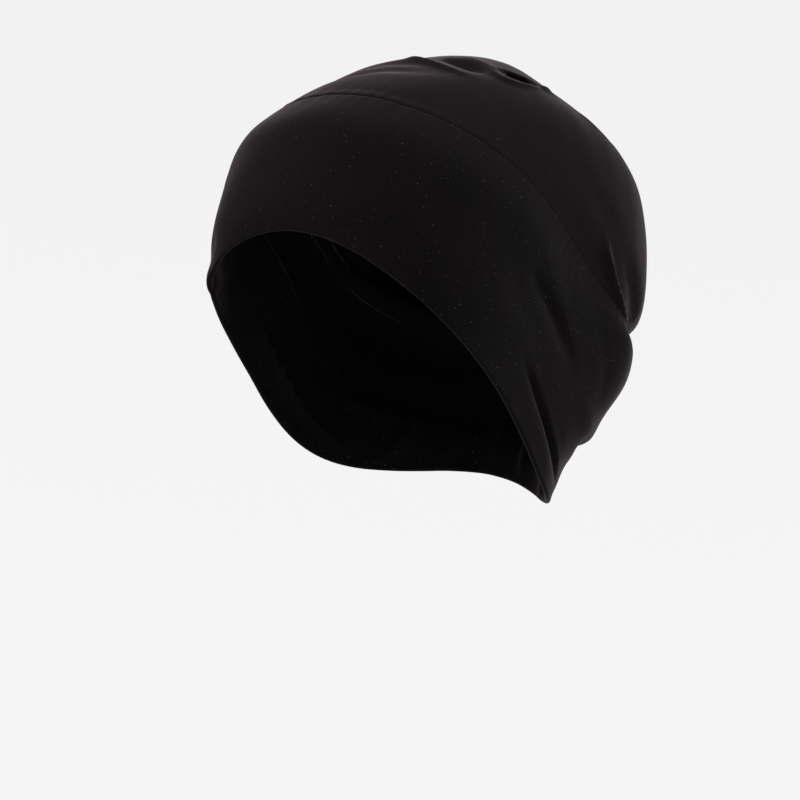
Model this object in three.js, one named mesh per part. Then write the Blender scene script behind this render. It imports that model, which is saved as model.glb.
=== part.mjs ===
// A slouchy stretch-jersey sleep bonnet, as it sits on a head.
//
// The bonnet is two sewn pieces: a deep band of doubled cloth round the face and the nape,
// and a thin crown, a soft bag whose lower edge is lapped inside the band's upper edge and
// whose top is gathered to one point behind the top of the head.
//
// Units are millimetres. +Z is up, the face opening looks along -Y, and +X is the wearer's
// left. The origin is the seat: the point on the inside of the crown that the top of the
// head bears on.
//
// Both pieces follow one surface, a stack of closed loops. A loop runs round the head by an
// angle that is 0 in front, a quarter turn at the wearer's left and a half turn behind. The
// loop's place is 0 at the hem, 1 at the seam and 2 at the gather.

import * as THREE from 'three';

// Driving sizes
const CROWN_LENGTH = 158.5; // seam in front to the back of the bag
const CROWN_HEIGHT = 142; // top of the crown down to the seam behind
const CROWN_WIDTH = 156; // across the widest loop
const BAND_WIDTH = 70; // hem to seam, measured over the forehead
const BAND_WALL = 2.4; // two layers of jersey and the air between them
const CROWN_WALL = 1.4; // one layer of jersey with its crimp
const SEAM_LAP = 6; // how far the crown's edge reaches down inside the band
const SEAM_GAP = 0.45; // clearance between the band and the crown
const SEAM_RIDGE = 0.5; // rise of the crown's edge where it leaves the seam
const FOLD_RISE = 5; // depth of the deepest crease
const FOLD_SPAN = 8; // half the reach of a broad fold
const GATHER_SHIFT = 5; // the gather sits this far to the wearer's left of the middle

// Places between which the cloth turns to face the way that the gather faces
const GATHER_TURN = { from: 1.74, to: 1.93 };

// Mesh density
const COLUMNS = 72;
const COLUMN_SPREAD = { sideCrowding: 0.13 }; // columns are closer at the sides, where the folds are
const FOLD_STEPS = 8;

// Loops of the crown. Lengths (front and back) are shares of CROWN_LENGTH from the seat,
// heights are shares of CROWN_HEIGHT from the top, and half and the three drops are shares
// of half of CROWN_WIDTH. A drop is how far the loop hangs below its own middle line, at
// the temple, at the side and behind the ear. Full is how square the loop's front and back
// are.
const CROWN_LOOPS = [
  { place: 1.0, frontY: -0.363, frontZ: -0.056, backY: 0.457, backZ: -1.0, half: 0.974,
    fullFront: 0.25, fullBack: 0.32, dropTemple: 0.12, dropSide: 0.113, dropEar: 0.145 },
  { place: 1.12, frontY: -0.293, frontZ: -0.034, backY: 0.532, backZ: -0.986, half: 1.0,
    fullFront: 0.17, fullBack: 0.22, dropTemple: 0.04, dropSide: 0.06, dropEar: 0.12 },
  { place: 1.3, frontY: -0.164, frontZ: -0.011, backY: 0.584, backZ: -0.873, half: 0.966,
    fullFront: 0.1, fullBack: 0.14, dropTemple: 0, dropSide: 0.013, dropEar: 0.05 },
  { place: 1.5, frontY: 0, frontZ: 0, backY: 0.628, backZ: -0.683, half: 0.808,
    fullFront: 0.05, fullBack: 0.05, dropTemple: 0.04, dropSide: -0.008, dropEar: 0 },
  { place: 1.7, frontY: 0.158, frontZ: -0.018, backY: 0.558, backZ: -0.486, half: 0.546,
    fullFront: 0.02, fullBack: 0.02, dropTemple: 0.06, dropSide: -0.006, dropEar: -0.01 },
  { place: 1.86, frontY: 0.278, frontZ: -0.063, backY: 0.467, backZ: -0.31, half: 0.286,
    fullFront: 0, fullBack: 0, dropTemple: 0.045, dropSide: 0.01, dropEar: 0 },
  { place: 2.0, frontY: 0.366, frontZ: -0.127, backY: 0.366, backZ: -0.127, half: 0,
    fullFront: 0, fullBack: 0, dropTemple: 0, dropSide: 0, dropEar: 0 },
];

// Loops of the band, below the seam. Front and back are offsets from the seam's own front
// and back points, as shares of BAND_WIDTH. The other columns are as above.
const BAND_LOOPS = [
  { place: 0, frontY: -0.649, frontZ: -0.734, backY: -0.481, backZ: -0.787, half: 0.942,
    fullFront: 0.19, fullBack: 0.15, dropTemple: 0.256, dropSide: 0.256, dropEar: 0.505 },
  { place: 0.15, frontY: -0.649, frontZ: -0.629, backY: -0.42, backZ: -0.715, half: 0.949,
    fullFront: 0.22, fullBack: 0.12, dropTemple: 0.23, dropSide: 0.23, dropEar: 0.48 },
  { place: 0.3, frontY: -0.614, frontZ: -0.515, backY: -0.343, backZ: -0.636, half: 0.962,
    fullFront: 0.25, fullBack: 0.13, dropTemple: 0.205, dropSide: 0.218, dropEar: 0.436 },
  { place: 0.45, frontY: -0.557, frontZ: -0.401, backY: -0.24, backZ: -0.53, half: 0.974,
    fullFront: 0.27, fullBack: 0.19, dropTemple: 0.167, dropSide: 0.192, dropEar: 0.385 },
  { place: 0.65, frontY: -0.442, frontZ: -0.225, backY: -0.052, backZ: -0.357, half: 0.981,
    fullFront: 0.29, fullBack: 0.31, dropTemple: 0.125, dropSide: 0.156, dropEar: 0.318 },
  { place: 0.84, frontY: -0.271, frontZ: -0.079, backY: 0.064, backZ: -0.157, half: 0.987,
    fullFront: 0.27, fullBack: 0.39, dropTemple: 0.123, dropSide: 0.135, dropEar: 0.225 },
];

// Folds. Each runs from one spot by way of a second to a third, given as [degrees, place].
// Rise is a share of FOLD_RISE, positive for a crest and negative for a valley, and span is
// a share of FOLD_SPAN. Mirrored folds are made on the wearer's right as well.
const FOLDS = [
  { name: 'crease behind the ear', from: [80, 0.36], by: [105, 0.285], to: [131, 0.175],
    rise: -0.64, span: 0.7, mirrored: true },
  { name: 'crest over that crease', from: [82, 0.43], by: [102, 0.38], to: [124, 0.3],
    rise: 0.2, span: 0.8, mirrored: true },
  { name: 'slack across the side of the band', from: [74, 0.71], by: [87, 0.655], to: [103, 0.59],
    rise: -0.34, span: 0.62, mirrored: true },
  { name: 'slack crest above it', from: [66, 0.79], by: [82, 0.74], to: [97, 0.69],
    rise: 0.18, span: 0.6, mirrored: true },
  { name: 'roll below the seam behind', from: [104, 0.94], by: [127, 0.91], to: [158, 0.91],
    rise: 0.48, span: 0.8, mirrored: true },
  { name: 'undercut of the slump', from: [122, 0.45], by: [134, 0.43], to: [156, 0.4],
    rise: -0.56, span: 0.7, mirrored: true },
  { name: 'slump over that undercut', from: [116, 0.55], by: [130, 0.52], to: [152, 0.5],
    rise: 0.3, span: 0.7, mirrored: true },
  { name: 'roll at the nape', from: [134, 0.54], by: [155, 0.5], to: [180, 0.48],
    rise: 0.4, span: 0.9, mirrored: true },
  { name: 'pull at the nape', from: [146, 0.04], by: [150, 0.28], to: [158, 0.55],
    rise: -0.5, span: 0.55, mirrored: true },
  { name: 'middle pull at the nape', from: [182, 0.03], by: [179, 0.3], to: [183, 0.62],
    rise: -0.5, span: 0.6, mirrored: false },
  { name: 'dent over the far temple', from: [309, 0.13], by: [315, 0.15], to: [322, 0.2],
    rise: -0.2, span: 0.5, mirrored: false },
  { name: 'flare of the far hem', from: [303, 0.02], by: [309, 0.02], to: [315, 0.03],
    rise: 0.3, span: 0.6, mirrored: false },
  { name: 'crest over the seam', from: [86, 1.14], by: [102, 1.11], to: [123, 1.05],
    rise: 0.36, span: 0.45, mirrored: true },
  { name: 'hollow behind that crest', from: [98, 1.2], by: [113, 1.16], to: [127, 1.1],
    rise: -0.5, span: 0.6, mirrored: true },
  { name: 'first slack crest on top', from: [338, 1.25], by: [357, 1.28], to: [18, 1.3],
    rise: 0.28, span: 1, mirrored: false },
  { name: 'slack valley on top', from: [342, 1.36], by: [2, 1.4], to: [22, 1.36],
    rise: -0.4, span: 0.9, mirrored: false },
  { name: 'second slack crest on top', from: [348, 1.49], by: [9, 1.45], to: [28, 1.36],
    rise: 0.34, span: 0.6, mirrored: false },
  { name: 'pocket beside the gather', from: [22, 1.575], by: [31, 1.61], to: [39, 1.66],
    rise: -0.9, span: 0.75, mirrored: false },
  { name: 'hollow of the gather', from: [0, 1.84], by: [0, 2], to: [180, 1.9],
    rise: -0.8, span: 0.8, mirrored: false },
  { name: 'gather over the side', from: [96, 1.92], by: [92, 1.78], to: [86, 1.62],
    rise: -0.3, span: 0.5, mirrored: true },
  { name: 'gather over the ear', from: [128, 1.93], by: [126, 1.76], to: [122, 1.56],
    rise: -0.44, span: 0.56, mirrored: true },
  { name: 'gather over the back', from: [158, 1.94], by: [156, 1.74], to: [152, 1.5],
    rise: -0.5, span: 0.6, mirrored: true },
  { name: 'crest over the back', from: [178, 1.92], by: [181, 1.7], to: [184, 1.42],
    rise: 0.4, span: 0.8, mirrored: false },
  { name: 'droop of the bag', from: [140, 1.16], by: [160, 1.12], to: [182, 1.12],
    rise: 0.4, span: 0.9, mirrored: true },
];

// Rows of each mesh, as places along the surface away from the seam
const BAND_PLACES = [0, 0.06, 0.12, 0.18, 0.23, 0.28, 0.33, 0.38, 0.44, 0.52, 0.62, 0.74, 0.86];
const CROWN_PLACES = [1.08, 1.12, 1.17, 1.23, 1.3, 1.36, 1.41, 1.46, 1.52, 1.6, 1.68, 1.76,
  1.83, 1.88, 1.925, 1.96, 1.985];

// Edge of the band at the seam and of the crown in it: along is the distance past the seam
// as a share of SEAM_LAP, and depth is below the outer surface, in millimetres
const LAP_STOPS = [-1, -0.5, 0];
const EDGE_ROUND = 0.7;
const EDGE_ROUND_START = 1.1;
const STEP_OUT = 0.6; // the crown's cloth leaves the seam this far past the band's edge
const STEP_RUN = 1.0; // and reaches the outer surface over this much more

const LOOP_COLUMNS = ['frontY', 'frontZ', 'backY', 'backZ', 'half', 'fullFront', 'fullBack',
  'dropTemple', 'dropSide', 'dropEar'];

// Turns the two tables of shares into one list of loops in millimetres.
function loopsInMillimetres() {
  const half = CROWN_WIDTH / 2;
  const widths = (row) => ({
    half: row.half * half,
    fullFront: row.fullFront,
    fullBack: row.fullBack,
    dropTemple: row.dropTemple * half,
    dropSide: row.dropSide * half,
    dropEar: row.dropEar * half,
  });
  const crown = CROWN_LOOPS.map((row) => ({
    place: row.place,
    frontY: row.frontY * CROWN_LENGTH,
    frontZ: row.frontZ * CROWN_HEIGHT + CROWN_WALL,
    backY: row.backY * CROWN_LENGTH,
    backZ: row.backZ * CROWN_HEIGHT + CROWN_WALL,
    ...widths(row),
  }));
  const seam = crown[0];
  const band = BAND_LOOPS.map((row) => ({
    place: row.place,
    frontY: seam.frontY + row.frontY * BAND_WIDTH,
    frontZ: seam.frontZ + row.frontZ * BAND_WIDTH,
    backY: seam.backY + row.backY * BAND_WIDTH,
    backZ: seam.backZ + row.backZ * BAND_WIDTH,
    ...widths(row),
  }));
  return [...band, ...crown];
}

// Slope of a column at a row: the parabola through the row and its two neighbours.
function slopeAt(rows, index, column) {
  const last = rows.length - 1;
  const rise = (a, b) => (rows[b][column] - rows[a][column]) / (rows[b].place - rows[a].place);
  if (index === 0) return rise(0, 1);
  if (index === last) return rise(last - 1, last);
  const before = rows[index].place - rows[index - 1].place;
  const after = rows[index + 1].place - rows[index].place;
  return (rise(index - 1, index) * after + rise(index, index + 1) * before) / (before + after);
}

const LOOPS = loopsInMillimetres();

// The loop at any place: a cubic between the two rows round it, with those slopes.
function loopAt(place) {
  const last = LOOPS.length - 2;
  let index = LOOPS.findIndex((row, k) => k <= last && place < LOOPS[k + 1].place);
  if (index < 0) index = last;
  const low = LOOPS[index];
  const high = LOOPS[index + 1];
  const step = high.place - low.place;
  const t = (place - low.place) / step;
  const loop = {};
  for (const column of LOOP_COLUMNS) {
    const start = slopeAt(LOOPS, index, column) * step;
    const end = slopeAt(LOOPS, index + 1, column) * step;
    loop[column] = (2 * t ** 3 - 3 * t ** 2 + 1) * low[column] + (t ** 3 - 2 * t ** 2 + t) * start
      + (3 * t ** 2 - 2 * t ** 3) * high[column] + (t ** 3 - t ** 2) * end;
  }
  return loop;
}

// A point of the plain surface, before any fold.
function surfacePoint(angle, place) {
  const loop = loopAt(place);
  const towardBack = -Math.cos(angle);
  const side = Math.sin(angle);
  const halfY = (loop.backY - loop.frontY) / 2;
  const halfZ = (loop.backZ - loop.frontZ) / 2;
  const chord = Math.hypot(halfY, halfZ) + 1e-9;
  const full = (loop.fullFront * (1 - towardBack) + loop.fullBack * (1 + towardBack)) / 2;
  const lean = (loop.dropEar - loop.dropTemple) / 1.2;
  const bend = (loop.dropEar + loop.dropTemple - 2 * loop.dropSide) / 0.72;
  const drop = side ** 2 * (loop.dropSide + lean * towardBack + bend * towardBack ** 2);
  const gathered = GATHER_SHIFT * Math.max(0, place - 1) ** 2;
  return new THREE.Vector3(
    loop.half * side * (1 + full * (1 - side ** 4)) + gathered,
    (loop.frontY + loop.backY) / 2 + halfY * towardBack + (halfZ / chord) * drop,
    (loop.frontZ + loop.backZ) / 2 + halfZ * towardBack - (halfY / chord) * drop,
  );
}

// Outward direction of the plain surface.
function facing(angle, place) {
  const small = 0.004;
  const round = surfacePoint(angle + small, place).sub(surfacePoint(angle - small, place));
  const up = surfacePoint(angle, place + small).sub(surfacePoint(angle, place - small));
  return round.cross(up).normalize();
}

// The one direction that the whole gather faces: the mean round a small loop about it.
function gatherFacing() {
  const sum = new THREE.Vector3();
  for (let k = 0; k < COLUMNS; k += 1) sum.add(facing((2 * Math.PI * k) / COLUMNS, GATHER_TURN.to));
  return sum.normalize();
}

const GATHER_OUT = gatherFacing();

// The direction that folds and wall are measured along: the surface's own, turning smoothly
// to the gather's as the loops close in on it, so that the small loops stay clear of each
// other.
function outward(angle, place) {
  const blend = THREE.MathUtils.smoothstep(place, GATHER_TURN.from, GATHER_TURN.to);
  if (blend === 1) return GATHER_OUT.clone();
  return facing(angle, place).lerp(GATHER_OUT, blend).normalize();
}

// A fold's line on the plain surface, through its three spots.
function foldLine(fold, mirror) {
  const points = [];
  for (let k = 0; k <= FOLD_STEPS; k += 1) {
    const t = k / FOLD_STEPS;
    const first = (1 - t) * (1 - 2 * t);
    const second = 4 * t * (1 - t);
    const third = t * (2 * t - 1);
    const mix = (n) => first * fold.from[n] + second * fold.by[n] + third * fold.to[n];
    const degrees = mirror ? 360 - mix(0) : mix(0);
    points.push(surfacePoint(THREE.MathUtils.degToRad(degrees), Math.min(mix(1), 2)));
  }
  return { points, rise: fold.rise * FOLD_RISE, span: fold.span * FOLD_SPAN };
}

// Some folds in front are written with degrees past a full turn, so that their line is short.
function unwrapped(fold) {
  const near = (degrees) => (degrees > 330 ? degrees - 360 : degrees);
  if (fold.from[0] <= 330 || fold.to[0] > 330) return fold;
  return { ...fold, from: [near(fold.from[0]), fold.from[1]], by: [near(fold.by[0]), fold.by[1]] };
}

const FOLD_LINES = FOLDS.flatMap((fold) => {
  const line = unwrapped(fold);
  return fold.mirrored ? [foldLine(line, false), foldLine(line, true)] : [foldLine(line, false)];
});

// How far the folds lift a point: each lifts by a bell of the distance to its line, and
// fades toward the line's two ends.
function foldLift(point) {
  let lift = 0;
  const nearest = new THREE.Vector3();
  const segment = new THREE.Line3();
  for (const fold of FOLD_LINES) {
    let best = Infinity;
    let along = 0;
    for (let k = 0; k < FOLD_STEPS; k += 1) {
      segment.set(fold.points[k], fold.points[k + 1]);
      const t = segment.closestPointToPointParameter(point, true);
      segment.at(t, nearest);
      const distance = nearest.distanceTo(point);
      if (distance < best) {
        best = distance;
        along = (k + t) / FOLD_STEPS;
      }
    }
    const fade = 0.3 + 0.7 * Math.sin(Math.PI * along);
    lift += fold.rise * fade * Math.exp(-((best / fold.span) ** 2));
  }
  return lift;
}

// A point at a depth below the folded outer surface.
function clothPoint(angle, place, depth) {
  const point = surfacePoint(angle, place);
  return point.addScaledVector(outward(angle, place), foldLift(point) - depth);
}

// A place that lies a given distance past the seam, measured on the surface at this angle.
function placePastSeam(angle, distance) {
  const small = 0.01;
  const step = surfacePoint(angle, 1 + small).distanceTo(surfacePoint(angle, 1 - small));
  return 1 + (distance * 2 * small) / step;
}

function columnAngle(k) {
  const even = (2 * Math.PI * k) / COLUMNS;
  return even + COLUMN_SPREAD.sideCrowding * Math.sin(2 * even);
}

const row = (makePoint) => Array.from({ length: COLUMNS }, (_, k) => makePoint(columnAngle(k)));
const rowAtPlace = (place, depth) => row((angle) => clothPoint(angle, place, depth));
const rowPastSeam = (distance, depth) => row((angle) => (
  clothPoint(angle, placePastSeam(angle, distance), depth)));

// The rounded nose of the folded hem, half a wall below the hem's own row.
function hemNose() {
  const small = 0.01;
  return row((angle) => {
    const down = surfacePoint(angle, 0).sub(surfacePoint(angle, small)).normalize();
    return clothPoint(angle, 0, BAND_WALL / 2).addScaledVector(down, BAND_WALL / 2);
  });
}

// Joins rows of points into a closed mesh. A capped mesh ends in one point at each end, and
// the other kind closes its last row on its first.
function meshFromRows(name, rows, caps, material) {
  const points = rows.flat();
  const index = [];
  const count = rows.length;
  const bands = caps ? count - 1 : count;
  for (let r = 0; r < bands; r += 1) {
    const next = (r + 1) % count;
    for (let k = 0; k < COLUMNS; k += 1) {
      const k2 = (k + 1) % COLUMNS;
      const a = r * COLUMNS + k;
      const b = r * COLUMNS + k2;
      const c = next * COLUMNS + k2;
      const d = next * COLUMNS + k;
      index.push(a, b, c, a, c, d);
    }
  }
  if (caps) {
    const firstCap = points.length;
    points.push(caps[0], caps[1]);
    const lastRow = (count - 1) * COLUMNS;
    for (let k = 0; k < COLUMNS; k += 1) {
      const k2 = (k + 1) % COLUMNS;
      index.push(firstCap, k2, k);
      index.push(firstCap + 1, lastRow + k, lastRow + k2);
    }
  }
  const geometry = new THREE.BufferGeometry();
  geometry.setAttribute('position', new THREE.Float32BufferAttribute(
    points.flatMap((point) => point.toArray()), 3));
  geometry.setIndex(index);
  geometry.computeVertexNormals();
  const mesh = new THREE.Mesh(geometry, material);
  mesh.name = name;
  return mesh;
}

// The band: up the outside from the hem, over the edge at the seam and down the inside.
function frontBand() {
  const outside = [
    ...BAND_PLACES.map((place) => rowAtPlace(place, 0)),
    ...LAP_STOPS.slice(0, -1).map((stop) => rowPastSeam(stop * SEAM_LAP, 0)),
    rowPastSeam(-EDGE_ROUND_START, 0),
    rowPastSeam(0, EDGE_ROUND),
  ];
  const inside = [
    ...LAP_STOPS.map((stop) => rowPastSeam(stop * SEAM_LAP, BAND_WALL)).reverse(),
    ...BAND_PLACES.map((place) => rowAtPlace(place, BAND_WALL)).reverse(),
  ];
  const material = new THREE.MeshStandardMaterial({
    color: new THREE.Color(0x18161a), roughness: 0.86, metalness: 0,
  });
  return meshFromRows('front_band', [...outside, ...inside, hemNose()], null, material);
}

// The crown: down the inside from the gather, round its edge in the seam and up the outside.
function crown() {
  const lapDepth = BAND_WALL + SEAM_GAP;
  const outside = [
    ...LAP_STOPS.map((stop) => rowPastSeam(stop * SEAM_LAP, lapDepth)),
    rowPastSeam(STEP_OUT, lapDepth),
    rowPastSeam(STEP_OUT + STEP_RUN / 2, EDGE_ROUND),
    rowPastSeam(STEP_OUT + STEP_RUN, -SEAM_RIDGE),
    rowPastSeam(SEAM_LAP / 2, -SEAM_RIDGE / 3),
    ...CROWN_PLACES.map((place) => rowAtPlace(place, 0)),
  ];
  const inside = [
    ...LAP_STOPS.map((stop) => rowPastSeam(stop * SEAM_LAP, lapDepth + CROWN_WALL)),
    rowPastSeam(STEP_OUT + CROWN_WALL, lapDepth + CROWN_WALL),
    rowPastSeam(STEP_OUT + CROWN_WALL + STEP_RUN, CROWN_WALL + EDGE_ROUND),
    rowPastSeam(STEP_OUT + 2 * CROWN_WALL + STEP_RUN, CROWN_WALL),
    ...CROWN_PLACES.map((place) => rowAtPlace(place, CROWN_WALL)),
  ].reverse();
  const gatherCaps = [clothPoint(0, 2, CROWN_WALL), clothPoint(0, 2, 0)];
  const material = new THREE.MeshStandardMaterial({
    color: new THREE.Color(0x1a181c), roughness: 0.88, metalness: 0,
  });
  return meshFromRows('crown', [...inside, ...outside], gatherCaps, material);
}

const bonnet = new THREE.Group();
bonnet.add(frontBand(), crown());

export default bonnet;
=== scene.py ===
# %% [markdown]
# # A slouchy jersey sleep bonnet
#
# The bonnet is two sewn pieces of thin black jersey. A deep band of doubled cloth runs
# round the face and the nape, and a soft bag, the crown, is sewn to its upper edge and
# gathered to one point behind the top of the head. It is shown in the form it takes when
# it is worn, with the head left out.
#
# Both pieces are grids of points on one smooth surface, worked out with numpy. Folds are
# added on top of that surface, so each fold can be tried, moved or taken out by itself.

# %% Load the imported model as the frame
import math
from collections import namedtuple

import bpy
import numpy as np
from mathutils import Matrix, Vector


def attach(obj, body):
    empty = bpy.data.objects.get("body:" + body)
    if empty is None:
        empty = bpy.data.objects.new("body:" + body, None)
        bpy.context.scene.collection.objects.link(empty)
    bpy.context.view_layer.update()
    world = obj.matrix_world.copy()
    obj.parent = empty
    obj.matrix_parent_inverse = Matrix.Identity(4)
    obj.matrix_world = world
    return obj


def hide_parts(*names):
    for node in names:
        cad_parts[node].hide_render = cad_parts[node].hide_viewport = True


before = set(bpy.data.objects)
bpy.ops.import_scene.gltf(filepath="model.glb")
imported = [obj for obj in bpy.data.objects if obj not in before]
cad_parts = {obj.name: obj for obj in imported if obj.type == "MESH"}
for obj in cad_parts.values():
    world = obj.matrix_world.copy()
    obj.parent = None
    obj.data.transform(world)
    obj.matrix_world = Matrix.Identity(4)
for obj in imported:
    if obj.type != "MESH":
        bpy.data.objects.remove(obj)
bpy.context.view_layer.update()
print("nodes in the frame:", sorted(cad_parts))

# %% [markdown]
# ## Sizes
#
# These are the sizes that the solids were made from, in metres. The origin is the seat:
# the point inside the crown that the top of the head bears on. The face opening looks
# along -Y, and +X is the wearer's left.

# %% Sizes of the two pieces
CROWN_LENGTH = 0.1585
CROWN_HEIGHT = 0.142
CROWN_WIDTH = 0.156
BAND_WIDTH = 0.070
BAND_WALL = 0.0024
CROWN_WALL = 0.0014
GATHER_SHIFT = 0.005
GATHER_FOOT = 1.74
GATHER_TOP = 1.93
SIDE_CROWDING = 0.13

# %% [markdown]
# ## The plain surface
#
# A worn cap is a stack of closed loops. Each loop is described by where it is in front and
# behind, how wide it is, how square its front and back are, and how far it hangs down at
# the temple, the side and behind the ear. Thirteen rows of such numbers, joined by smooth
# curves, give the whole form. The loop's place is 0 at the hem, 1 at the seam and 2 at
# the gather.

# %% Tables of loops, as shares of the sizes
CROWN_LOOPS = np.array([
    # place, frontY, frontZ, backY, backZ, half, fullFront, fullBack, temple, side, ear
    [1.00, -0.363, -0.056, 0.457, -1.000, 0.974, 0.262, 0.32, 0.120, 0.113, 0.145],
    [1.12, -0.293, -0.034, 0.532, -0.986, 1.000, 0.17, 0.22, 0.062, 0.068, 0.112],
    [1.30, -0.164, -0.011, 0.584, -0.873, 0.966, 0.10, 0.14, 0.020, 0.022, 0.050],
    [1.50, 0.000, 0.000, 0.628, -0.683, 0.808, 0.05, 0.05, 0.034, -0.006, 0.000],
    [1.70, 0.158, -0.018, 0.558, -0.486, 0.546, 0.02, 0.02, 0.060, -0.006, -0.010],
    [1.86, 0.278, -0.063, 0.467, -0.310, 0.286, 0.00, 0.00, 0.045, 0.010, 0.000],
    [2.00, 0.366, -0.127, 0.366, -0.127, 0.000, 0.00, 0.00, 0.000, 0.000, 0.000],
])
BAND_LOOPS = np.array([
    # front and back are offsets from the seam's, as shares of the band's width
    [0.00, -0.649, -0.734, -0.481, -0.787, 0.942, 0.19, 0.15, 0.256, 0.256, 0.505],
    [0.15, -0.649, -0.629, -0.420, -0.715, 0.949, 0.22, 0.12, 0.230, 0.230, 0.480],
    [0.30, -0.614, -0.515, -0.362, -0.636, 0.962, 0.25, 0.13, 0.205, 0.218, 0.436],
    [0.45, -0.557, -0.401, -0.234, -0.530, 0.974, 0.27, 0.19, 0.167, 0.192, 0.385],
    [0.65, -0.442, -0.225, -0.062, -0.357, 0.981, 0.282, 0.31, 0.125, 0.156, 0.318],
    [0.84, -0.271, -0.079, 0.064, -0.157, 0.987, 0.28, 0.39, 0.123, 0.135, 0.225],
])


def loops_in_metres():
    """Both tables as one, with every length in metres and the band's offsets added to the seam."""
    crown = CROWN_LOOPS.copy()
    crown[:, [1, 3]] *= CROWN_LENGTH
    crown[:, [2, 4]] = crown[:, [2, 4]] * CROWN_HEIGHT + CROWN_WALL
    band = BAND_LOOPS.copy()
    band[:, 1:5] = crown[0, 1:5] + BAND_WIDTH * band[:, 1:5]
    table = np.vstack([band, crown])
    table[:, [5, 8, 9, 10]] *= CROWN_WIDTH / 2
    return table


LOOPS = loops_in_metres()


def spline_slopes(table):
    """Slope of every column at each row that makes the bending continuous from row to row,
    with no bending at the first row and the last."""
    step = np.diff(table[:, 0])
    rise = np.diff(table[:, 1:], axis=0) / step[:, None]
    count = len(table)
    system = np.zeros((count, count))
    target = np.zeros((count, rise.shape[1]))
    inner = np.arange(1, count - 1)
    system[inner, inner - 1] = 1 / step[:-1]
    system[inner, inner] = 2 / step[:-1] + 2 / step[1:]
    system[inner, inner + 1] = 1 / step[1:]
    target[1:-1] = 3 * (rise[:-1] / step[:-1, None] + rise[1:] / step[1:, None])
    system[0, :2] = 2, 1
    system[-1, -2:] = 1, 2
    target[0] = 3 * rise[0]
    target[-1] = 3 * rise[-1]
    return np.linalg.solve(system, target)


SLOPES = spline_slopes(LOOPS)
print("rows in the table of loops:", len(LOOPS))

# %% A point of the plain surface
# how far before or behind the side, as a share, the temple's and the ear's drops are read
DROP_SPOT = 0.6
RING_STEPS = 72
NEARLY_TOP = 1.99


def loop_at(place):
    """Columns of the loop at each place: the cubic that leaves one row and meets the next
    with their values and slopes."""
    low = np.clip(np.searchsorted(LOOPS[:, 0], place, side="right") - 1, 0, len(LOOPS) - 2)
    step = LOOPS[low + 1, 0] - LOOPS[low, 0]
    t = ((place - LOOPS[low, 0]) / step)[..., None]
    step = step[..., None]
    return (
        (2 * t**3 - 3 * t**2 + 1) * LOOPS[low, 1:]
        + (t**3 - 2 * t**2 + t) * step * SLOPES[low]
        + (3 * t**2 - 2 * t**3) * LOOPS[low + 1, 1:]
        + (t**3 - t**2) * step * SLOPES[low + 1]
    )


def plain(angle, place):
    """Surface point: the loop's middle, plus its half length toward the back times minus
    the cosine of the angle, plus its half width across times the sine, less the drop."""
    angle, place = np.broadcast_arrays(angle, place)
    fy, fz, by, bz, half, full_front, full_back, temple, side_drop, ear = np.moveaxis(
        loop_at(place), -1, 0)
    back = -np.cos(angle)
    side = np.sin(angle)
    half_y = (by - fy) / 2
    half_z = (bz - fz) / 2
    chord = np.hypot(half_y, half_z) + 1e-12
    full = (full_front * (1 - back) + full_back * (1 + back)) / 2
    tilt = (ear - temple) / (2 * DROP_SPOT)
    bow = (ear + temple - 2 * side_drop) / (2 * DROP_SPOT**2)
    drop = side**2 * (side_drop + tilt * back + bow * back**2)
    across = half * side * (1 + full * (1 - side**4))
    across = across + GATHER_SHIFT * np.clip(place - 1, 0, None) ** 2
    return np.stack([
        across,
        (fy + by) / 2 + half_y * back + half_z / chord * drop,
        (fz + bz) / 2 + half_z * back - half_y / chord * drop,
    ], axis=-1)


def unit(vectors):
    """Each vector over its own length."""
    return vectors / np.linalg.norm(vectors, axis=-1, keepdims=True)


def facing(angle, place):
    """Outward direction: the change round the loop crossed with the change toward the top."""
    small = 0.004
    around = plain(angle + small, place) - plain(angle - small, place)
    upward = plain(angle, place + small) - plain(angle, place - small)
    return unit(np.cross(around, upward))


ring = np.linspace(0, 2 * np.pi, RING_STEPS, endpoint=False)
GATHER_OUT = unit(facing(ring, np.full(RING_STEPS, GATHER_TOP)).sum(axis=0))


def outward(angle, place):
    """The surface's own direction, turning smoothly to the gather's as the loops close in."""
    t = np.clip((place - GATHER_FOOT) / (GATHER_TOP - GATHER_FOOT), 0, 1)
    blend = (t * t * (3 - 2 * t))[..., None]
    own = facing(angle, np.minimum(place, NEARLY_TOP))
    return unit(own * (1 - blend) + GATHER_OUT * blend)


print("the gather faces", GATHER_OUT.round(2))

# %% [markdown]
# ## Folds
#
# Soft jersey shows its form in a few long folds. A fold is a line on the surface through
# three spots, each an angle in degrees and a place. The cloth rises or sinks near the
# line by a bell of the distance to it. The edge column is the bell's exponent: 2 is a
# round roll, and values near 1 give the tight line that light catches on a pulled crease.
# Lean makes one side of the fold steeper than the other, and slide draws the cloth along
# the surface toward the gather, so that a tuck goes in under the cloth above it.

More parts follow.
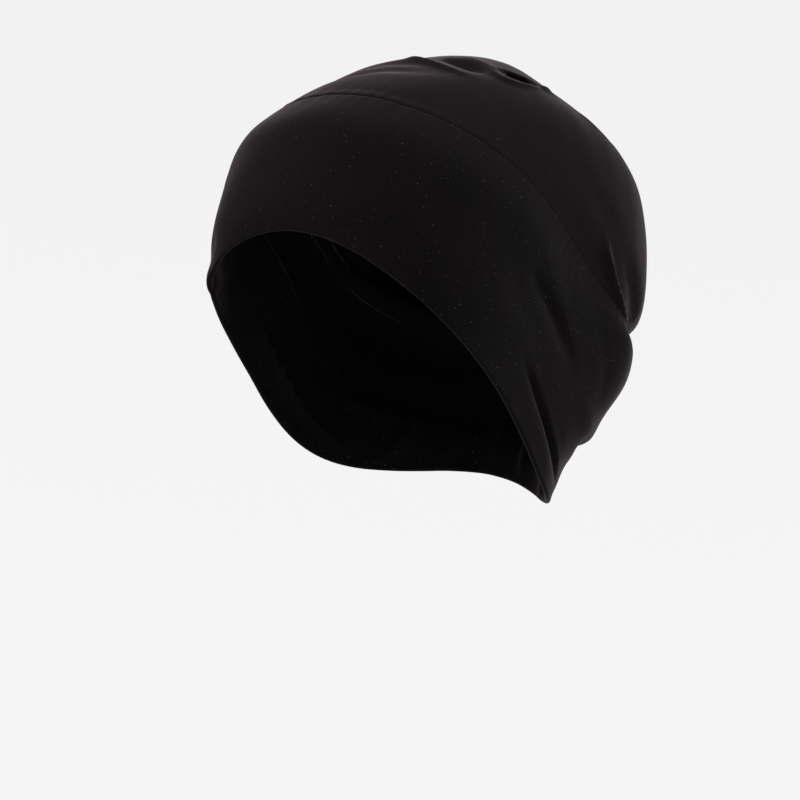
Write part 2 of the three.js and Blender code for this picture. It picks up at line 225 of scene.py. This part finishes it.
# %% Table of folds
Fold = namedtuple("Fold", "start middle end rise span edge lean both slide", defaults=[0.0])
FOLDS = [
    # crease behind the ear, with the roll beside it and the taut strip at the hem
    Fold((86, 0.342), (108, 0.272), (133, 0.17), -0.0026, 0.0014, 1.7, 0.5, True),
    Fold((83, 0.34), (106, 0.26), (130, 0.16), -0.0010, 0.0046, 2.0, 0.0, True),
    Fold((86, 0.38), (105, 0.31), (128, 0.21), 0.0007, 0.0024, 2.0, 0.0, True),
    Fold((98, 0.19), (113, 0.15), (131, 0.07), 0.0008, 0.0050, 2.0, 0.0, True),
    # slack across the side of the band
    Fold((72, 0.665), (88, 0.65), (103, 0.60), -0.0025, 0.0036, 1.7, 0.4, True),
    Fold((64, 0.79), (82, 0.74), (97, 0.69), 0.0008, 0.0050, 1.8, 0.0, True),
    Fold((60, 0.60), (76, 0.52), (92, 0.47), -0.0006, 0.0060, 2.0, 0.0, True),
    Fold((104, 0.83), (114, 0.74), (122, 0.62), -0.0008, 0.0050, 1.8, 0.0, True),
    # nape: the roll below the seam, the slump, and what it hangs over
    Fold((104, 0.945), (127, 0.92), (158, 0.92), 0.0024, 0.0062, 2.0, 0.0, True),
    Fold((130, 0.44), (139, 0.43), (156, 0.40), -0.0028, 0.0034, 1.8, 0.0, True),
    Fold((112, 0.54), (126, 0.51), (152, 0.50), 0.0009, 0.0050, 2.0, 0.0, True),
    Fold((134, 0.54), (155, 0.50), (180, 0.48), 0.0020, 0.0072, 2.0, 0.0, True),
    Fold((146, 0.02), (150, 0.28), (158, 0.55), -0.0028, 0.0036, 1.5, 0.0, True),
    Fold((138, 0.05), (141, 0.22), (144, 0.36), 0.0012, 0.0040, 2.0, 0.0, True),
    Fold((164, 0.02), (166, 0.24), (171, 0.44), -0.0022, 0.0034, 1.5, 0.0, True),
    Fold((182, 0.03), (179, 0.30), (183, 0.62), -0.0026, 0.0040, 1.6, 0.0, False),
    # far temple
    Fold((309, 0.13), (315, 0.15), (322, 0.20), -0.0010, 0.0040, 2.0, 0.0, False),
    Fold((303, 0.02), (309, 0.02), (315, 0.03), 0.0015, 0.0050, 2.0, 0.0, False),
    Fold((292, 0.30), (304, 0.45), (316, 0.62), -0.0014, 0.0200, 2.0, 0.0, False),
    # notch between the two pieces behind
    Fold((108, 1.00), (127, 1.00), (160, 1.00), -0.0012, 0.0030, 1.6, 0.0, True),
    # crown above the seam at the side
    Fold((89, 1.13), (105, 1.055), (126, 1.0), 0.0034, 0.0026, 1.5, 0.3, True),
    Fold((100, 1.17), (114, 1.12), (127, 1.075), -0.0020, 0.0054, 2.0, 0.0, True),
    Fold((64, 1.22), (80, 1.20), (96, 1.19), -0.0008, 0.0060, 2.0, 0.0, True),
    # top of the crown, across
    Fold((322, 1.20), (342, 1.27), (8, 1.33), -0.0014, 0.0050, 2.0, 0.0, False),
    Fold((326, 1.36), (342, 1.42), (356, 1.47), 0.0010, 0.0060, 2.0, 0.0, False),
    Fold((338, 1.36), (356, 1.40), (14, 1.36), -0.0010, 0.0060, 2.0, 0.0, False),
    Fold((345, 1.475), (359, 1.43), (17, 1.385), 0.0018, 0.0024, 1.3, 0.0, False),
    Fold((0, 1.50), (10, 1.485), (20, 1.455), -0.0026, 0.0042, 2.0, 0.0, False),
    Fold((2, 1.575), (12, 1.57), (22, 1.55), 0.0008, 0.0040, 2.0, 0.0, False),
    # gather: the pocket, its two lips, and the pleats behind
    Fold((25, 1.57), (31, 1.60), (37, 1.64), -0.0085, 0.0036, 3.0, 0.0, False, 0.0110),
    Fold((19, 1.57), (29, 1.48), (41, 1.63), 0.0013, 0.0018, 1.8, 0.0, False),
    Fold((41, 1.63), (45, 1.67), (49, 1.72), 0.0014, 0.0030, 1.8, 0.0, False),
    Fold((66, 1.66), (72, 1.61), (80, 1.56), 0.0006, 0.0036, 1.6, 0.0, True),
    Fold((0, 1.84), (0, 2.00), (180, 1.90), -0.0040, 0.0060, 2.0, 0.0, False),
    Fold((96, 1.92), (92, 1.78), (86, 1.60), -0.0018, 0.0040, 1.6, 0.0, True),
    Fold((112, 1.93), (110, 1.80), (104, 1.62), 0.0014, 0.0040, 1.6, 0.0, True),
    Fold((128, 1.93), (126, 1.76), (122, 1.54), -0.0026, 0.0042, 1.6, 0.0, True),
    Fold((143, 1.94), (141, 1.76), (136, 1.58), 0.0014, 0.0042, 1.8, 0.0, True),
    Fold((158, 1.94), (156, 1.74), (152, 1.48), -0.0030, 0.0044, 1.6, 0.0, True),
    Fold((178, 1.92), (181, 1.70), (184, 1.42), 0.0020, 0.0062, 2.0, 0.0, False),
    # droop of the bag at the back
    Fold((140, 1.16), (160, 1.12), (182, 1.12), 0.0020, 0.0072, 2.0, 0.0, True),
]
FOLD_STEPS = 12
REACH_IN_SPANS = 3.2
SHARE_AT_ENDS = 0.15
FADE_POWER = 0.8
WRAP_FROM = 280


def three_spots(start, middle, end):
    """The curve that passes through three values at 0, a half and 1."""
    t = np.linspace(0, 1, FOLD_STEPS + 1)
    return (1 - t) * (1 - 2 * t) * start + 4 * t * (1 - t) * middle + t * (2 * t - 1) * end


def near_front(degrees):
    """Angles short of a full turn as small negative ones, so a line over the front is short."""
    return degrees - 360 if degrees > WRAP_FROM else degrees


def fold_lines():
    """Each fold's points on the plain surface, once or once on either side."""
    lines = []
    for fold in FOLDS:
        spots = [fold.start, fold.middle, fold.end]
        spots = [(near_front(degrees), place) for degrees, place in spots]
        degrees = three_spots(*[spot[0] for spot in spots])
        place = np.minimum(three_spots(*[spot[1] for spot in spots]), 2.0)
        for sign in ((1, -1) if fold.both else (1,)):
            lines.append((fold, sign, plain(np.radians(sign * degrees), place)))
    return lines


LINES = fold_lines()


def fold_lift(points, normals):
    """Rise and slide, each summed over the folds times fade times
    exp(-(distance / span) ** edge). Fade is small at a line's ends and 1 in its middle."""
    lift = np.zeros(len(points))
    slide = np.zeros(len(points))
    for fold, sign, line in LINES:
        reach = REACH_IN_SPANS * fold.span
        near = np.all((points > line.min(0) - reach) & (points < line.max(0) + reach), axis=1)
        chosen = points[near]
        best = np.full(len(chosen), np.inf)
        along = np.zeros(len(chosen))
        turned = np.zeros(len(chosen))
        for k in range(FOLD_STEPS):
            run = line[k + 1] - line[k]
            t = np.clip((chosen - line[k]) @ run / (run @ run + 1e-12), 0, 1)
            away = chosen - line[k] - t[:, None] * run
            distance = np.linalg.norm(away, axis=1)
            closer = distance < best
            best[closer] = distance[closer]
            along[closer] = ((k + t) / FOLD_STEPS)[closer]
            flank = np.einsum("ij,ij->i", np.cross(run, normals[near]), away)
            turned[closer] = (np.sign(flank) * sign)[closer]
        span = fold.span * (1 + fold.lean * turned)
        swell = np.sin(np.pi * np.clip(along, 0, 1)) ** FADE_POWER
        fade = SHARE_AT_ENDS + (1 - SHARE_AT_ENDS) * swell
        bell = np.exp(-((np.maximum(best, 1e-9) / span) ** fold.edge))
        lift[near] += fold.rise * fade * bell
        slide[near] += fold.slide * fade * bell
    return lift, slide


print("folds:", len(LINES))

# %% [markdown]
# ## Small unevenness
#
# Besides its folds, worn cloth is never quite smooth. A few waves of different lengths,
# added together, give a gentle slackness, and short waves along the seam give the fine
# puckers that sewing leaves.

# %% Slackness and puckers
WAVES = [
    # turns round the loop, turns per place, phase, rise
    (9, 1.3, 0.4, 0.00007),
    (14, -2.1, 1.9, 0.00007),
    (23, 3.2, 4.2, 0.00005),
    (5, -1.6, 2.7, 0.00007),
]
WAVE_FADE = 0.5
PUCKER_TURNS = 71
PUCKER_RISE = 0.00020
PUCKER_REACH = 0.007
UPWARD_FROM = 1.98
UPWARD_STEP = 0.01


def slackness(angle, place):
    """Sum of sines of the angle and the place. It fades out where the loops close in."""
    total = np.zeros_like(place)
    for turns, per_place, phase, rise in WAVES:
        total += rise * np.sin(turns * angle + 2 * np.pi * per_place * place + phase)
    return total * np.clip((2 - place) / WAVE_FADE, 0, 1)


def puckers(angle, distance):
    """Short waves along the seam whose size wanders, dying away with distance from it."""
    wander = 0.6 + 0.4 * np.sin(7 * angle + 1.0) * np.sin(3 * angle + 0.3)
    wave = np.sin(PUCKER_TURNS * angle + 2.2 * np.sin(9 * angle))
    return PUCKER_RISE * wander * wave * np.exp(-np.abs(distance) / PUCKER_REACH)


def speed_at_seam(angle):
    """Distance on the surface per unit of place, where the two pieces meet."""
    small = 0.01
    step = plain(angle, 1 + small) - plain(angle, 1 - small)
    return np.linalg.norm(step, axis=-1) / (2 * small)


def cloth(angle, place, depth):
    """Point of the real cloth: the plain point moved outward by folds, slackness and
    puckers, less the depth below the outer face."""
    angle, place, depth = np.broadcast_arrays(angle, place, depth)
    base = plain(angle, place)
    out = outward(angle, place)
    lift, slide = fold_lift(base.reshape(-1, 3), out.reshape(-1, 3))
    lift = lift.reshape(place.shape) + slackness(angle, place)
    lift = lift + puckers(angle, (place - 1) * speed_at_seam(angle))
    below = np.minimum(place, UPWARD_FROM)
    upward = unit(plain(angle, below + UPWARD_STEP) - plain(angle, below))
    slide = slide.reshape(place.shape)[..., None]
    return base + out * (lift - depth)[..., None] + upward * slide


# %% [markdown]
# ## From a profile to a wall
#
# Each piece is a closed wall. Its profile is a list of stops, and a stop is a place, a
# distance from the seam and a depth below the outer face. The stops are joined by many
# rows of points, and the rows run round the head.

# %% Grid helpers
COLUMNS = 480
CLOTH_ROUND = 0.56


def column_angles():
    """Even turns, drawn together a little at the sides, where most of the folds are."""
    even = np.linspace(0, 2 * np.pi, COLUMNS, endpoint=False)
    return even + SIDE_CROWDING * np.sin(2 * even)


ANGLE = column_angles()
SPEED = speed_at_seam(ANGLE)
SEAM_DETAIL = 0.0005
SIDE_CALM = 0.8
CALM_MIDDLE = math.radians(92)
CALM_REACH = math.radians(58)


def seam_relief(angle):
    """Share of the seam's groove and lip that is left: 1 in front and behind, and at the sides,
    where the cloth is pulled flat, 1 less a bell of the angle."""
    half_turn = np.abs((angle + np.pi) % (2 * np.pi) - np.pi)
    return 1 - SIDE_CALM * np.exp(-((half_turn - CALM_MIDDLE) / CALM_REACH) ** 2)


def rows_between(stops):
    """Rows along a profile. A stop is (place, distance, depth, rows from the one before),
    and its own place at each angle is place plus distance over the speed at the seam."""
    places = [stops[0][0] + stops[0][1] / SPEED]
    depths = [stops[0][2]]
    for before, after in zip(stops, stops[1:]):
        t = np.arange(1, after[3] + 1) / after[3]
        first = before[0] + before[1] / SPEED
        last = after[0] + after[1] / SPEED
        places.extend(first + (last - first) * share for share in t)
        depths.extend(before[2] + (after[2] - before[2]) * t)
    depths = np.array(depths)[:, None]
    fine = np.abs(depths) < SEAM_DETAIL
    return np.array(places), np.where(fine, depths * seam_relief(ANGLE), depths)


def grid_faces(rows, closed):
    """Quads between each row and the next, and between the last and the first if closed."""
    row = np.arange(rows if closed else rows - 1)[:, None]
    column = np.arange(COLUMNS)[None, :]
    following = (row + 1) % rows
    beside = (column + 1) % COLUMNS
    corners = [row * COLUMNS + column, row * COLUMNS + beside,
               following * COLUMNS + beside, following * COLUMNS + column]
    return np.stack([np.broadcast_to(c, (len(row), COLUMNS)) for c in corners], -1).reshape(-1, 4)


def new_piece(name, points, faces, caps, uv_rows):
    """A smooth-shaded mesh object with a map of the cloth: along the loops and across them."""
    mesh = bpy.data.meshes.new(name)
    mesh.from_pydata(points.tolist(), [], faces.tolist() + caps)
    mesh.shade_smooth()
    layer = mesh.uv_layers.new(name="cloth")
    corner = np.empty(len(mesh.loops), dtype=np.int32)
    mesh.loops.foreach_get("vertex_index", corner)
    column = corner % COLUMNS
    along = ANGLE[column] / (2 * np.pi)
    start = np.empty(len(mesh.polygons), dtype=np.int32)
    total = np.empty(len(mesh.polygons), dtype=np.int32)
    mesh.polygons.foreach_get("loop_start", start)
    mesh.polygons.foreach_get("loop_total", total)
    largest = np.maximum.reduceat(column, start)
    smallest = np.minimum.reduceat(column, start)
    crossing = np.repeat((largest == COLUMNS - 1) & (smallest == 0), total)
    along = np.where(crossing & (column == 0), 1.0, along)
    coordinates = np.stack([along * CLOTH_ROUND, uv_rows[corner]], axis=-1)
    layer.data.foreach_set("uv", coordinates.ravel())
    mesh.update()
    piece = bpy.data.objects.new(name, mesh)
    bpy.context.scene.collection.objects.link(piece)
    print(name, "triangles:", int((total - 2).sum()))
    return piece


print("columns:", COLUMNS)

# %% [markdown]
# ## The band
#
# The band is a strip of jersey folded in two along the hem, so its lower edge is a clean
# round fold, and the raw edges go into the seam. The wall goes up the outside, rolls into
# the seam's groove, and comes down the inside. The groove is shallower at the sides, where
# the pull of the head draws the seam flat.

# %% Make the band
SEAM_DIP = [
    # distance from the seam, depth, rows
    (-0.0024, 0.00000, 6),
    (-0.0011, 0.00004, 2),
    (-0.0006, 0.00010, 2),
    (-0.0003, 0.00018, 2),
    (-0.00005, 0.00034, 2),
    (-0.00005, 0.00210, 2),
]
BAND_SHOULDER = 0.90
INNER_EDGE = -0.0008
HEM_STEPS = 7


def band_profile():
    """Up the outside from the hem, over the edge at the seam, and down the inside."""
    stops = [(0.0, 0.0, 0.0, 0), (BAND_SHOULDER, 0.0, 0.0, 62)]
    stops += [(1.0, distance, depth, rows) for distance, depth, rows in SEAM_DIP]
    stops += [(1.0, INNER_EDGE, BAND_WALL, 2), (BAND_SHOULDER, 0.0, BAND_WALL, 6),
              (0.0, 0.0, BAND_WALL, 46)]
    return rows_between(stops)


def hem_roll(steps):
    """The folded edge: a half circle across the wall, from the outer face to the inner."""
    turn = np.pi * np.arange(1, steps + 1) / (steps + 1)
    radius = BAND_WALL / 2
    down = unit(plain(ANGLE, np.zeros(COLUMNS)) - plain(ANGLE, np.full(COLUMNS, 0.01)))
    rows = []
    for angle in turn[::-1]:
        depth = radius * (1 - math.cos(angle))
        edge = cloth(ANGLE, np.zeros(COLUMNS), np.full(COLUMNS, depth))
        rows.append(edge + down * radius * math.sin(angle))
    return np.array(rows)


band_places, band_depths = band_profile()
band_points = cloth(ANGLE[None, :], band_places, band_depths)
roll_points = hem_roll(HEM_STEPS)
band_rows = np.concatenate([band_points, roll_points])
band_uv = np.concatenate([band_places * BAND_WIDTH, np.zeros((len(roll_points), COLUMNS))])
front_band = new_piece("front_band_cloth", band_rows.reshape(-1, 3),
                       grid_faces(len(band_rows), True), [], band_uv.ravel())

# %% [markdown]
# ## The crown
#
# The crown is one layer. Its edge goes down behind the band's edge into the seam, comes
# out of the groove with a small raised lip where the seam's bulk pushes it up, and runs
# to the gather, where all its pleats meet.

# %% Make the crown
SEAM_LIP = [
    # distance from the seam, depth, rows
    (0.00003, 0.00270, 4),
    (0.00003, 0.00150, 2),
    (0.00003, 0.00044, 2),
    (0.0003, 0.00014, 2),
    (0.0007, -0.00008, 2),
    (0.0014, -0.00026, 2),
    (0.0024, -0.00028, 2),
    (0.0042, -0.00014, 2),
    (0.0064, 0.00000, 2),
]
LAP_DEPTH = BAND_WALL + 0.00045
LAP_LENGTH = 0.0056
LAP_END = 0.0060
GATHER_END = 1.99
CLOTH_UP = 0.13


def crown_profile():
    """Down the inside from the gather, round the edge in the seam, and up the outside."""
    inner = CROWN_WALL
    stops = [
        # place, distance, depth, rows
        (GATHER_END, 0.0, inner, 0),
        (1.10, 0.0, inner, 34),
        (1.0, 0.0064, inner, 2),
        (1.0, 0.0030, inner + 0.0004, 3),
        (1.0, 0.0016, LAP_DEPTH + inner, 3),
        (1.0, -LAP_LENGTH, LAP_DEPTH + inner, 5),
        (1.0, -LAP_END, LAP_DEPTH + inner / 2, 1),
        (1.0, -LAP_LENGTH, LAP_DEPTH, 1),
    ]
    stops += [(1.0, distance, depth, rows) for distance, depth, rows in SEAM_LIP]
    stops += [(1.14, 0.0, 0.0, 12), (GATHER_END, 0.0, 0.0, 108)]
    return rows_between(stops)


crown_places, crown_depths = crown_profile()
crown_points = cloth(ANGLE[None, :], crown_places, crown_depths).reshape(-1, 3)
ends = cloth(np.zeros(2), np.full(2, 2.0), np.array([CROWN_WALL, 0.0]))
crown_points = np.concatenate([crown_points, ends])
inner_end = len(crown_points) - 2
outer_end = len(crown_points) - 1
last_row = (len(crown_places) - 1) * COLUMNS
crown_caps = []
for k in range(COLUMNS):
    following = (k + 1) % COLUMNS
    crown_caps.append((inner_end, following, k))
    crown_caps.append((outer_end, last_row + k, last_row + following))
crown_uv = np.concatenate([(crown_places * CLOTH_UP).ravel(), [2 * CLOTH_UP, 2 * CLOTH_UP]])
crown = new_piece("crown_cloth", crown_points, grid_faces(len(crown_places), False),
                  crown_caps, crown_uv)

# %% [markdown]
# ## The jersey
#
# Black modal jersey drinks nearly all light when it is looked at squarely, and its fine
# nap turns a soft violet grey where it is seen at a grazing angle. So the base colour is
# almost black, there is next to no mirror-like gloss, and sheen does the rest. Toward the
# seam the band takes on the crown's slightly warmer tone, so the seam reads softly. Close up,
# the knit shows columns of small V-shaped loops, and a few pale specks of lint cling to it.

# %% A small class for the arithmetic of a material


class Value:
    """A socket of a material. Arithmetic on it adds Math nodes, so a pattern reads as a formula."""

    def __init__(self, tree, socket):
        self.tree = tree
        self.socket = socket

    def node(self, kind, inputs, output=0, **settings):
        """Adds any node: its settings first, then its inputs by name or number."""
        made = self.tree.nodes.new(kind)
        for name, value in settings.items():
            setattr(made, name, value)
        for name, value in inputs.items():
            if isinstance(value, Value):
                self.tree.links.new(value.socket, made.inputs[name])
            else:
                made.inputs[name].default_value = value
        return Value(self.tree, made.outputs[output])

    def math(self, operation, *others):
        inputs = {number: value for number, value in enumerate((self, *others))}
        return self.node("ShaderNodeMath", inputs, operation=operation)

    def flipped(self, operation, other):
        return self.node("ShaderNodeMath", {0: other, 1: self}, operation=operation)

    def __add__(self, other):
        return self.math("ADD", other)

    def __sub__(self, other):
        return self.math("SUBTRACT", other)

    def __mul__(self, other):
        return self.math("MULTIPLY", other)

    def __truediv__(self, other):
        return self.math("DIVIDE", other)

    def __pow__(self, other):
        return self.math("POWER", other)

    def __rsub__(self, other):
        return self.flipped("SUBTRACT", other)

    __radd__ = __add__
    __rmul__ = __mul__

    def clamp(self, low=0.0, high=1.0):
        return self.math("MAXIMUM", low).math("MINIMUM", high)

    def mix(self, first, second):
        """Colour between two others, by this value."""
        return self.node("ShaderNodeMix", {0: self, 6: first, 7: second}, output=2,
                         data_type="RGBA")


# %% The knit and the lint, as formulas
WALE = 0.00085
COURSE = 0.00065
LINT_SIZE = 0.00028
LINT_SPREAD = 0.0024
LINT_TONE = (0.042, 0.044, 0.042, 1)
CLOUD_FROM = 0.35
CLOUD_GAIN = 2.4
SEAM_TONE_FROM = 0.72
KNIT_SHARE = 0.75
GRAIN_SHARE = 0.5
LEAST_ROUGH = 0.86
ROUGH_DRIFT = 0.06


def knit_height(cloth_map):
    """Height of the knit: ridges one wale apart, each crossed by V-shaped loops one course
    apart. The tent is 0 at a wale's middle and 1 at its edges."""
    parts = cloth_map.tree.nodes.new("ShaderNodeSeparateXYZ")
    cloth_map.tree.links.new(cloth_map.socket, parts.inputs[0])
    around = Value(cloth_map.tree, parts.outputs[0]) / WALE
    upward = Value(cloth_map.tree, parts.outputs[1]) / COURSE
    tent = (around.math("FRACT") - 0.5).math("ABSOLUTE") * 2.0
    loops = ((upward + tent * 0.5) * (2 * math.pi)).math("SINE")
    return (1.0 - tent ** 2.0) * (0.7 + loops * 0.3)


def lint(position, size, spread, keep):
    """Tiny specks: inside a small distance of scattered points, and only for a few of them,
    each as pale as its own chance makes it."""
    voronoi = position.tree.nodes.new("ShaderNodeTexVoronoi")
    voronoi.inputs["Scale"].default_value = 1 / spread
    position.tree.links.new(position.socket, voronoi.inputs["Vector"])
    distance = Value(position.tree, voronoi.outputs["Distance"])
    parts = position.tree.nodes.new("ShaderNodeSeparateColor")
    position.tree.links.new(voronoi.outputs["Color"], parts.inputs[0])
    chance = Value(position.tree, parts.outputs[0])
    paleness = Value(position.tree, parts.outputs[1])
    inside = distance.math("LESS_THAN", size / spread)
    return inside * chance.math("LESS_THAN", keep) * (0.2 + paleness ** 2.0 * 0.8)


def jersey(name, base, warm, speck_share, sheen, seam_tone=None):
    """Black jersey: near-black colour drifting from base to warm, and to the seam's tone near
    the seam if there is one, with lint, knit bump and a grey sheen."""
    material = bpy.data.materials.new(name)
    material.use_nodes = True
    tree = material.node_tree
    shader = tree.nodes["Principled BSDF"]
    coordinates = tree.nodes.new("ShaderNodeTexCoord")
    place = Value(tree, coordinates.outputs["Object"])
    cloth_map = place.node("ShaderNodeUVMap", {}, uv_map="cloth")
    drift = place.node("ShaderNodeTexNoise", {"Vector": place, "Scale": 26.0, "Detail": 3.0})
    cloud = ((drift - CLOUD_FROM) * CLOUD_GAIN).clamp()
    colour = cloud.mix((*base, 1), (*warm, 1))
    if seam_tone:
        upward = place.node("ShaderNodeSeparateXYZ", {0: cloth_map}, output=1)
        near = ((upward / BAND_WIDTH - SEAM_TONE_FROM) / (1 - SEAM_TONE_FROM)).clamp()
        colour = (near * near).mix(colour, (*seam_tone, 1))
    specks = lint(place, LINT_SIZE, LINT_SPREAD, speck_share)
    colour = specks.mix(colour, LINT_TONE)
    grain = place.node("ShaderNodeTexNoise", {"Vector": place, "Scale": 900.0, "Detail": 2.0})
    height = knit_height(cloth_map) * KNIT_SHARE + grain * GRAIN_SHARE
    bump = height.node("ShaderNodeBump", {"Height": height, "Strength": 0.35,
                                          "Distance": 0.00018})
    tree.links.new(colour.socket, shader.inputs["Base Color"])
    tree.links.new((LEAST_ROUGH + cloud * ROUGH_DRIFT).socket, shader.inputs["Roughness"])
    tree.links.new(bump.socket, shader.inputs["Normal"])
    shader.inputs["Specular IOR Level"].default_value = 0.03
    shader.inputs["Sheen Weight"].default_value = sheen
    shader.inputs["Sheen Roughness"].default_value = 0.24
    shader.inputs["Sheen Tint"].default_value = (1.0, 0.84, 0.93, 1)
    print(name, "nodes:", len(tree.nodes))
    return material


BAND_TONE = (0.0031, 0.0027, 0.0029)
BAND_WARM = (0.0044, 0.0034, 0.0038)
BAND_AT_SEAM = (0.0048, 0.0038, 0.0043)
CROWN_TONE = (0.0044, 0.0034, 0.0039)
band_jersey = jersey("band jersey", BAND_TONE, BAND_WARM, 0.66, 0.15, BAND_AT_SEAM)
crown_jersey = jersey("crown jersey", CROWN_TONE, CROWN_TONE, 0.12, 0.19)
front_band.data.materials.append(band_jersey)
crown.data.materials.append(crown_jersey)

# %% [markdown]
# ## Hand the pieces to the frame
#
# Each cloth piece rides on the one body and stands for its solid, which is hidden. The band was cut
# as a strip, and the crown as a bag that is gathered at its top.

# %% Ride and replace
for piece, node, material_slot in ((front_band, "front_band", "band_jersey"),
                                   (crown, "crown", "crown_jersey")):
    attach(piece, "root")
    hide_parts(node)

# %% [markdown]
# ## Studio
#
# A pale floor lies well below the bonnet, and a pale surround lights it softly from all
# sides. Three large lamps give the cloth its form: one high on the wearer's left and
# behind, which brings out the grey edge of the crown, a low weak one under it, and a
# slightly warm one on the wearer's right.

# %% Floor and surround
FLOOR_DROP = 0.55
FLOOR_REACH = 9.0
FLOOR_SIDES = 96
PALE = 0.896


def pale_floor():
    """A round floor, seen from above only, so that a view from below isn't blocked."""
    turn = np.linspace(0, 2 * np.pi, FLOOR_SIDES, endpoint=False)
    points = np.stack([np.cos(turn), np.sin(turn), 0 * turn], axis=-1) * FLOOR_REACH
    points[:, 2] = -FLOOR_DROP
    mesh = bpy.data.meshes.new("floor")
    mesh.from_pydata(points.tolist(), [], [tuple(range(FLOOR_SIDES))])
    floor = bpy.data.objects.new("floor", mesh)
    bpy.context.scene.collection.objects.link(floor)
    material = bpy.data.materials.new("pale floor")
    material.use_nodes = True
    tree = material.node_tree
    shader = tree.nodes["Principled BSDF"]
    shader.inputs["Base Color"].default_value = (0.05, 0.05, 0.05, 1)
    shader.inputs["Emission Color"].default_value = (1, 1, 1, 1)
    shader.inputs["Emission Strength"].default_value = 0.815
    shader.inputs["Roughness"].default_value = 0.9
    shader.inputs["Specular IOR Level"].default_value = 0.1
    geometry = tree.nodes.new("ShaderNodeNewGeometry")
    seen = 1.0 - Value(tree, geometry.outputs["Backfacing"])
    tree.links.new(seen.socket, shader.inputs["Alpha"])
    mesh.materials.append(material)
    return floor


floor = pale_floor()
world = bpy.data.worlds.new("pale surround")
world.use_nodes = True
world.node_tree.nodes["Background"].inputs["Color"].default_value = (PALE, PALE, PALE, 1)
world.node_tree.nodes["Background"].inputs["Strength"].default_value = 1.0
bpy.context.scene.world = world
bpy.context.scene.view_settings.view_transform = "Standard"
print("floor at", floor.data.vertices[0].co.z)

# %% Lamps
LAMP_AIM = np.array([0.0, -0.005, -0.10])
WHITE = (1, 1, 1)
WARM = (1.0, 0.82, 0.86)
LAMPS = [
    # name, azimuth, elevation, distance, size, power, tint
    ("side lamp", 128, 56, 1.8, 1.2, 22, WHITE),
    ("low side lamp", 136, 10, 2.0, 1.0, 14, WHITE),
    ("front lamp", -66, 24, 2.2, 1.8, 60, WARM),
]


def soft_lamp(name, azimuth, elevation, distance, size, power, tint):
    """A square lamp that faces the bonnet's middle from a given side and height."""
    a = math.radians(azimuth)
    e = math.radians(elevation)
    light = bpy.data.lights.new(name, "AREA")
    light.shape = "SQUARE"
    light.size = size
    light.energy = power
    light.color = tint
    lamp = bpy.data.objects.new(name, light)
    back = np.array([math.sin(a) * math.cos(e), -math.cos(a) * math.cos(e), math.sin(e)])
    lamp.location = (LAMP_AIM + back * distance).tolist()
    aim = Vector((-back).tolist()).to_track_quat("-Z", "Y")
    lamp.rotation_euler = aim.to_euler()
    bpy.context.scene.collection.objects.link(lamp)
    return lamp


for lamp_row in LAMPS:
    soft_lamp(*lamp_row)
print("lamps:", len(LAMPS))

# %% [markdown]
# ## Camera
#
# The camera stands 2.2 metres away, a little above the bonnet and round to the wearer's
# left, and its frame takes in 354 millimetres at that distance.

# %% Camera
AZIMUTH = math.radians(36)
ELEVATION = math.radians(14)
DISTANCE = 2.2
FRAME_MM = 354.0
EAR_AXIS = np.array([0.0, -0.023, -0.1296])
AIM = EAR_AXIS + np.array([-0.00094, -0.00624, -0.01803])

camera_data = bpy.data.cameras.new("camera")
camera_data.sensor_width = 36.0
camera_data.lens = 36.0 * DISTANCE * 1000 / FRAME_MM
camera = bpy.data.objects.new("camera", camera_data)
camera_back = np.array([math.sin(AZIMUTH) * math.cos(ELEVATION),
                        -math.cos(AZIMUTH) * math.cos(ELEVATION), math.sin(ELEVATION)])
camera.location = (AIM + camera_back * DISTANCE).tolist()
camera.rotation_euler = Vector((-camera_back).tolist()).to_track_quat("-Z", "Y").to_euler()
bpy.context.scene.collection.objects.link(camera)
bpy.context.scene.camera = camera
print("lens in millimetres:", round(camera_data.lens, 1))
